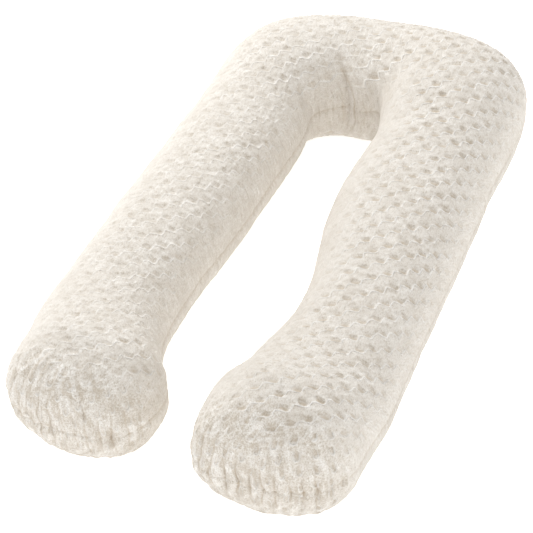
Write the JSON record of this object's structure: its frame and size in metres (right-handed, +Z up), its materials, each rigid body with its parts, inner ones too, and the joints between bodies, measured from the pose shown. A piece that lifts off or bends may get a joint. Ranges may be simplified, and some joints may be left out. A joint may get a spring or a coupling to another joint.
{
  "type": "pregnancy pillow",
  "caption": "U-shaped full-body pregnancy pillow in cream plush, lying flat, one arm swelling inwards for the belly and a bulb at each end.",
  "frame": {"origin": "on the surface that the pillow lies on, under the middle of its box", "axes": "+Z up, +Y towards the closed bend of the U, -Y towards the two arm ends, +X towards the arm that swells inwards"},
  "size_m": [0.8088, 1.4592, 0.311],
  "materials": {
    "cover": "soft plush jacquard pile with a small staggered scale relief"
  },
  "bodies": {
    "root": {"pillow": "cover"}
  },
  "joints": []
}
